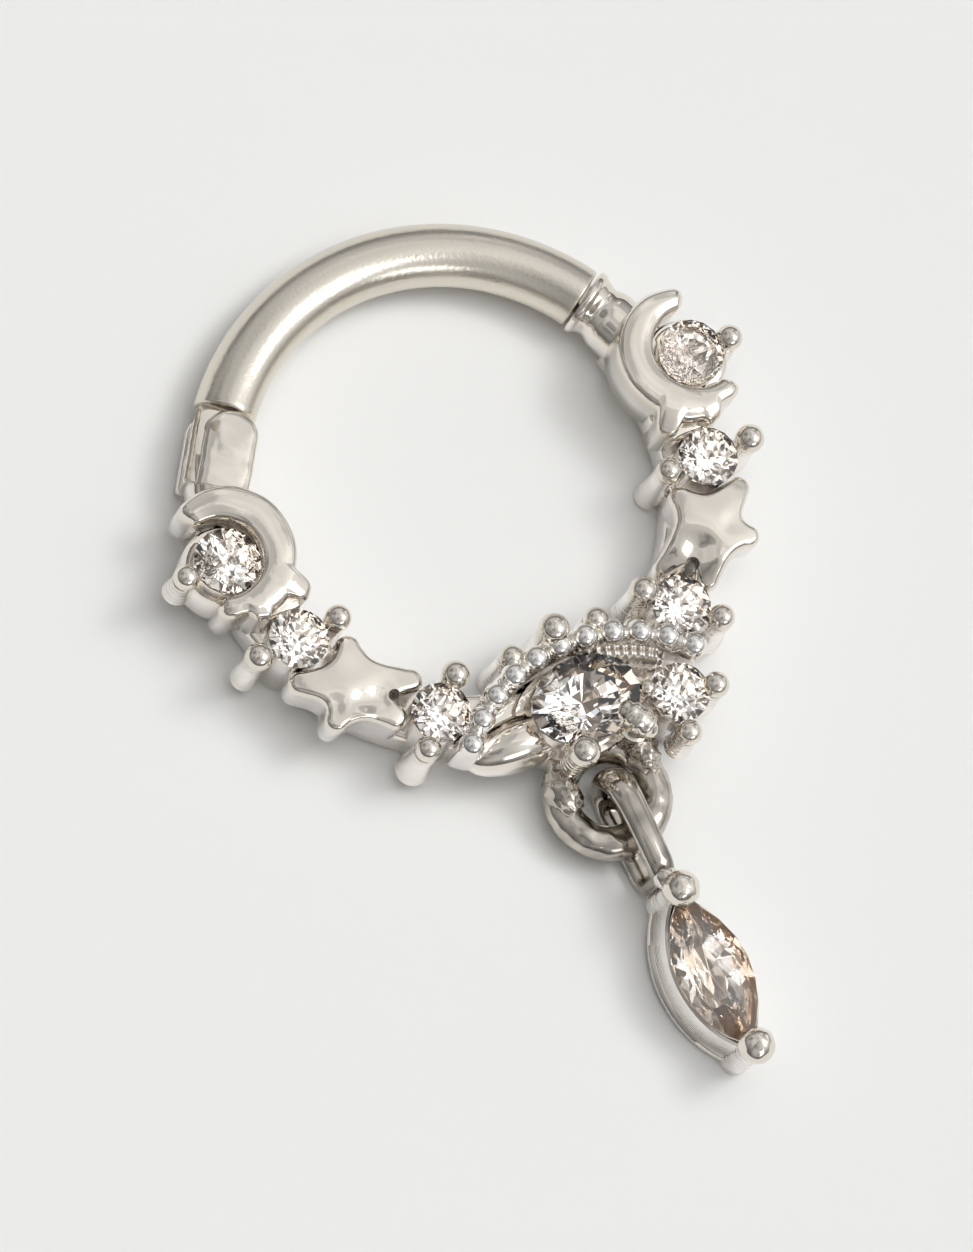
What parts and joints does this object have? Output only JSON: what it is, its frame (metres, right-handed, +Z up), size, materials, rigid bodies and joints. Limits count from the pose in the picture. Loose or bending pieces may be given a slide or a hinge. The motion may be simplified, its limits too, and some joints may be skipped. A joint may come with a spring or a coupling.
{
  "type": "hinged clicker ring",
  "caption": "Hinged clicker ring for a piercing, with crescent moons, stars and clear stones along its cast lower arc and a marquise stone drop on a fixed loop.",
  "frame": {"origin": "centre of the part's box, on the floor plane that its flat back rests on", "axes": "+Z is up from the flat back to the stones' faces and runs along the ring's centre line; +X runs from the hinge side to the click side; the drop points to -Y"},
  "size_m": [0.0122, 0.0176, 0.0024],
  "materials": {
    "polished_metal": "mirror-polished cast metal with a silver-white plating",
    "satin_metal": "satin drawn wire",
    "pin_metal": "dull, slightly brown pin end",
    "clear_stone": "brilliant-cut, clear to very pale champagne",
    "peach_stone": "marquise-cut, clear with a faint peach tint"
  },
  "bodies": {
    "ring": {"casting": "polished_metal", "hinge_pin": "pin_metal", "stone_moon_left": "clear_stone", "stone_moon_right": "clear_stone", "stone_upper_left": "clear_stone", "stone_upper_right": "clear_stone", "stone_lower_left": "clear_stone", "stone_lower_right": "clear_stone", "stone_side": "clear_stone", "stone_centre": "clear_stone", "drop_setting": "polished_metal", "stone_drop": "peach_stone"},
    "gate": {"gate": "satin_metal"}
  },
  "joints": [
    {"name": "gate_hinge", "type": "hinge", "parent": "ring", "child": "gate", "pos_m": [-0.00383, 0.00642, 0.00075], "axis": [0, 0, 1], "range_deg": [0, 90]}
  ]
}
